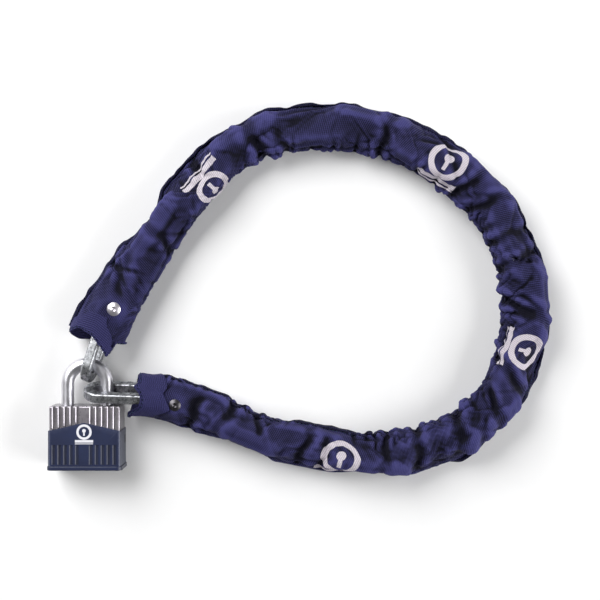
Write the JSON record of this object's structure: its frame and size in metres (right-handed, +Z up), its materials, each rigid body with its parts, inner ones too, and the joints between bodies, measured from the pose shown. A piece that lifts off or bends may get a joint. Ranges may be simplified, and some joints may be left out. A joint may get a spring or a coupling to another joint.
{
  "type": "chain lock",
  "caption": "Security chain of square-bar links in a woven fabric sleeve, closed by a padlock with a fluted metal body and a moulded jacket, lying flat in a loop.",
  "frame": {"origin": "centre of the whole object's box, on the surface it lies on", "axes": "+X across the loop away from the padlock, +Y from the padlock's base towards its shackle, +Z up off the table"},
  "size_m": [0.3987, 0.304, 0.0337],
  "materials": {
    "silver_casting": "silver-grey painted die casting, satin",
    "navy_cover": "matte dark blue moulded cover",
    "black_plastic": "matte black moulding",
    "shackle_steel": "satin polished hardened steel",
    "link_steel": "zinc-plated square bar, dull and slightly rough",
    "inner_steel": "plain turned or drawn steel",
    "dark_steel": "blackened steel screw",
    "brass": "turned brass",
    "sleeve_fabric": "coarse woven nylon, dark purple-blue",
    "bright_rivet": "polished nickel-plated rivet",
    "dark_rivet": "antique dark plated rivet"
  },
  "bodies": {
    "padlock": {"lock_body": "silver_casting", "body_jacket": "navy_cover", "jacket_clip": "black_plastic", "base_cap": "navy_cover", "base_screws": "dark_steel", "cylinder_shell": "brass", "chamber_cover": "brass", "driver_pins": "brass", "pin_springs": "inner_steel", "heel_retaining_pin": "inner_steel", "shackle_spring": "inner_steel"},
    "key_plug": {"plug": "brass", "key_pins": "brass", "plug_clip": "inner_steel", "locking_cam": "inner_steel"},
    "locked_bow": {"shackle": "shackle_steel"},
    "heel_side_ball": {"heel_ball": "shackle_steel"},
    "toe_side_ball": {"toe_ball": "shackle_steel"},
    "chain_01": {"link_01": "link_steel", "cuff_bow_end": "sleeve_fabric"},
    "chain_02": {"link_02": "link_steel", "sleeve_section_02": "sleeve_fabric", "bow_end_rivet": "bright_rivet", "bow_end_washer": "inner_steel"},
    "chain_03": {"link_03": "link_steel", "sleeve_section_03": "sleeve_fabric"},
    "chain_04": {"link_04": "link_steel", "sleeve_section_04": "sleeve_fabric"},
    "chain_05": {"link_05": "link_steel", "sleeve_section_05": "sleeve_fabric"},
    "chain_06": {"link_06": "link_steel", "sleeve_section_06": "sleeve_fabric"},
    "chain_07": {"link_07": "link_steel", "sleeve_section_07": "sleeve_fabric"},
    "chain_08": {"link_08": "link_steel", "sleeve_section_08": "sleeve_fabric"},
    "chain_09": {"link_09": "link_steel", "sleeve_section_09": "sleeve_fabric"},
    "chain_10": {"link_10": "link_steel", "sleeve_section_10": "sleeve_fabric"},
    "chain_11": {"link_11": "link_steel", "sleeve_section_11": "sleeve_fabric"},
    "chain_12": {"link_12": "link_steel", "sleeve_section_12": "sleeve_fabric"},
    "chain_13": {"link_13": "link_steel", "sleeve_section_13": "sleeve_fabric"},
    "chain_14": {"link_14": "link_steel", "sleeve_section_14": "sleeve_fabric"},
    "chain_15": {"link_15": "link_steel", "sleeve_section_15": "sleeve_fabric"},
    "chain_16": {"link_16": "link_steel", "sleeve_section_16": "sleeve_fabric"},
    "chain_17": {"link_17": "link_steel", "sleeve_section_17": "sleeve_fabric"},
    "chain_18": {"link_18": "link_steel", "sleeve_section_18": "sleeve_fabric", "leg_end_rivet": "dark_rivet", "leg_end_washer": "inner_steel"},
    "chain_19": {"link_19": "link_steel", "cuff_leg_end": "sleeve_fabric"}
  },
  "joints": [
    {"name": "shackle_lift", "type": "slide", "parent": "padlock", "child": "locked_bow", "axis": [0, 1, 0], "range_m": [0, 0.015], "deforming": ["shackle_spring"]},
    {"name": "plug_turn", "type": "hinge", "parent": "padlock", "child": "key_plug", "pos_m": [-0.17037, -0.13972, 0.0155], "axis": [0, 1, 0], "range_deg": [0, 90.01]},
    {"name": "heel_ball_slide", "type": "slide", "parent": "padlock", "child": "heel_side_ball", "axis": [1, 0, 0], "range_m": [0, 0.0042]},
    {"name": "toe_ball_slide", "type": "slide", "parent": "padlock", "child": "toe_side_ball", "axis": [-1, 0, 0], "range_m": [0, 0.0042]},
    {"name": "link_01_swing", "type": "hinge", "parent": "locked_bow", "child": "chain_01", "pos_m": [-0.16862, -0.06377, 0.016], "axis": [0, 0, 1], "range_deg": [-6, 6]},
    {"name": "link_02_swing", "type": "hinge", "parent": "chain_01", "child": "chain_02", "pos_m": [-0.15298, -0.01565, 0.016], "axis": [0, 0, 1], "range_deg": [-7.92, 7.92]},
    {"name": "link_03_swing", "type": "hinge", "parent": "chain_02", "child": "chain_03", "pos_m": [-0.12575, 0.02628, 0.016], "axis": [0, 0, 1], "range_deg": [-3.96, 3.96]},
    {"name": "link_04_swing", "type": "hinge", "parent": "chain_03", "child": "chain_04", "pos_m": [-0.09779, 0.06774, 0.016], "axis": [0, 0, 1], "range_deg": [-3.21, 3.21]},
    {"name": "link_05_swing", "type": "hinge", "parent": "chain_04", "child": "chain_05", "pos_m": [-0.06499, 0.10547, 0.016], "axis": [0, 0, 1], "range_deg": [-1.24, 1.24]},
    {"name": "link_06_swing", "type": "hinge", "parent": "chain_05", "child": "chain_06", "pos_m": [-0.02084, 0.12894, 0.016], "axis": [0, 0, 1], "range_deg": [-2.3, 2.3]},
    {"name": "link_07_swing", "type": "hinge", "parent": "chain_06", "child": "chain_07", "pos_m": [0.02904, 0.13243, 0.016], "axis": [0, 0, 1], "range_deg": [-5.52, 5.52]},
    {"name": "link_08_swing", "type": "hinge", "parent": "chain_07", "child": "chain_08", "pos_m": [0.07776, 0.12119, 0.016], "axis": [0, 0, 1], "range_deg": [-4.53, 4.53]},
    {"name": "link_09_swing", "type": "hinge", "parent": "chain_08", "child": "chain_09", "pos_m": [0.12149, 0.09694, 0.016], "axis": [0, 0, 1], "range_deg": [-2.11, 2.11]},
    {"name": "link_10_swing", "type": "hinge", "parent": "chain_09", "child": "chain_10", "pos_m": [0.15622, 0.06098, 0.016], "axis": [0, 0, 1], "range_deg": [-2.55, 2.55]},
    {"name": "link_11_swing", "type": "hinge", "parent": "chain_10", "child": "chain_11", "pos_m": [0.17656, 0.0153, 0.016], "axis": [0, 0, 1], "range_deg": [-6.83, 6.83]},
    {"name": "link_12_swing", "type": "hinge", "parent": "chain_11", "child": "chain_12", "pos_m": [0.17918, -0.03463, 0.016], "axis": [0, 0, 1], "range_deg": [-4.11, 4.11]},
    {"name": "link_13_swing", "type": "hinge", "parent": "chain_12", "child": "chain_13", "pos_m": [0.16126, -0.08131, 0.016], "axis": [0, 0, 1], "range_deg": [-2.53, 2.53]},
    {"name": "link_14_swing", "type": "hinge", "parent": "chain_13", "child": "chain_14", "pos_m": [0.12529, -0.11604, 0.016], "axis": [0, 0, 1], "range_deg": [-1.71, 1.71]},
    {"name": "link_15_swing", "type": "hinge", "parent": "chain_14", "child": "chain_15", "pos_m": [0.07802, -0.13232, 0.016], "axis": [0, 0, 1], "range_deg": [-2.34, 2.34]},
    {"name": "link_16_swing", "type": "hinge", "parent": "chain_15", "child": "chain_16", "pos_m": [0.02821, -0.12796, 0.016], "axis": [0, 0, 1], "range_deg": [-6.37, 6.37]},
    {"name": "link_17_swing", "type": "hinge", "parent": "chain_16", "child": "chain_17", "pos_m": [-0.02088, -0.11842, 0.016], "axis": [0, 0, 1], "range_deg": [-5.16, 5.16]},
    {"name": "link_18_swing", "type": "hinge", "parent": "chain_17", "child": "chain_18", "pos_m": [-0.0669, -0.09889, 0.016], "axis": [0, 0, 1], "range_deg": [-1.14, 1.14]},
    {"name": "link_19_swing", "type": "hinge", "parent": "chain_18", "child": "chain_19", "pos_m": [-0.11389, -0.08179, 0.016], "axis": [0, 0, 1], "range_deg": [-5.59, 5.59]}
  ],
  "couplings": [
    {"joint": "plug_turn", "follows": "shackle_lift", "rad_per_m": 104.72},
    {"joint": "heel_ball_slide", "follows": "shackle_lift", "ratio": 0.28},
    {"joint": "toe_ball_slide", "follows": "shackle_lift", "ratio": 0.28},
    {"joint": "link_02_swing", "follows": "link_01_swing", "ratio": -1.311},
    {"joint": "link_03_swing", "follows": "link_01_swing", "ratio": -0.651},
    {"joint": "link_04_swing", "follows": "link_01_swing", "ratio": -0.526},
    {"joint": "link_05_swing", "follows": "link_01_swing", "ratio": 0.199},
    {"joint": "link_06_swing", "follows": "link_01_swing", "ratio": 0.375},
    {"joint": "link_07_swing", "follows": "link_01_swing", "ratio": 0.912},
    {"joint": "link_08_swing", "follows": "link_01_swing", "ratio": 0.746},
    {"joint": "link_09_swing", "follows": "link_01_swing", "ratio": 0.344},
    {"joint": "link_10_swing", "follows": "link_01_swing", "ratio": -0.416},
    {"joint": "link_11_swing", "follows": "link_01_swing", "ratio": -1.13},
    {"joint": "link_12_swing", "follows": "link_01_swing", "ratio": -0.676},
    {"joint": "link_13_swing", "follows": "link_01_swing", "ratio": -0.414},
    {"joint": "link_14_swing", "follows": "link_01_swing", "ratio": 0.276},
    {"joint": "link_15_swing", "follows": "link_01_swing", "ratio": 0.382},
    {"joint": "link_16_swing", "follows": "link_01_swing", "ratio": 1.054},
    {"joint": "link_17_swing", "follows": "link_01_swing", "ratio": 0.852},
    {"joint": "link_18_swing", "follows": "link_01_swing", "ratio": -0.181},
    {"joint": "link_19_swing", "follows": "link_01_swing", "ratio": -0.924}
  ]
}
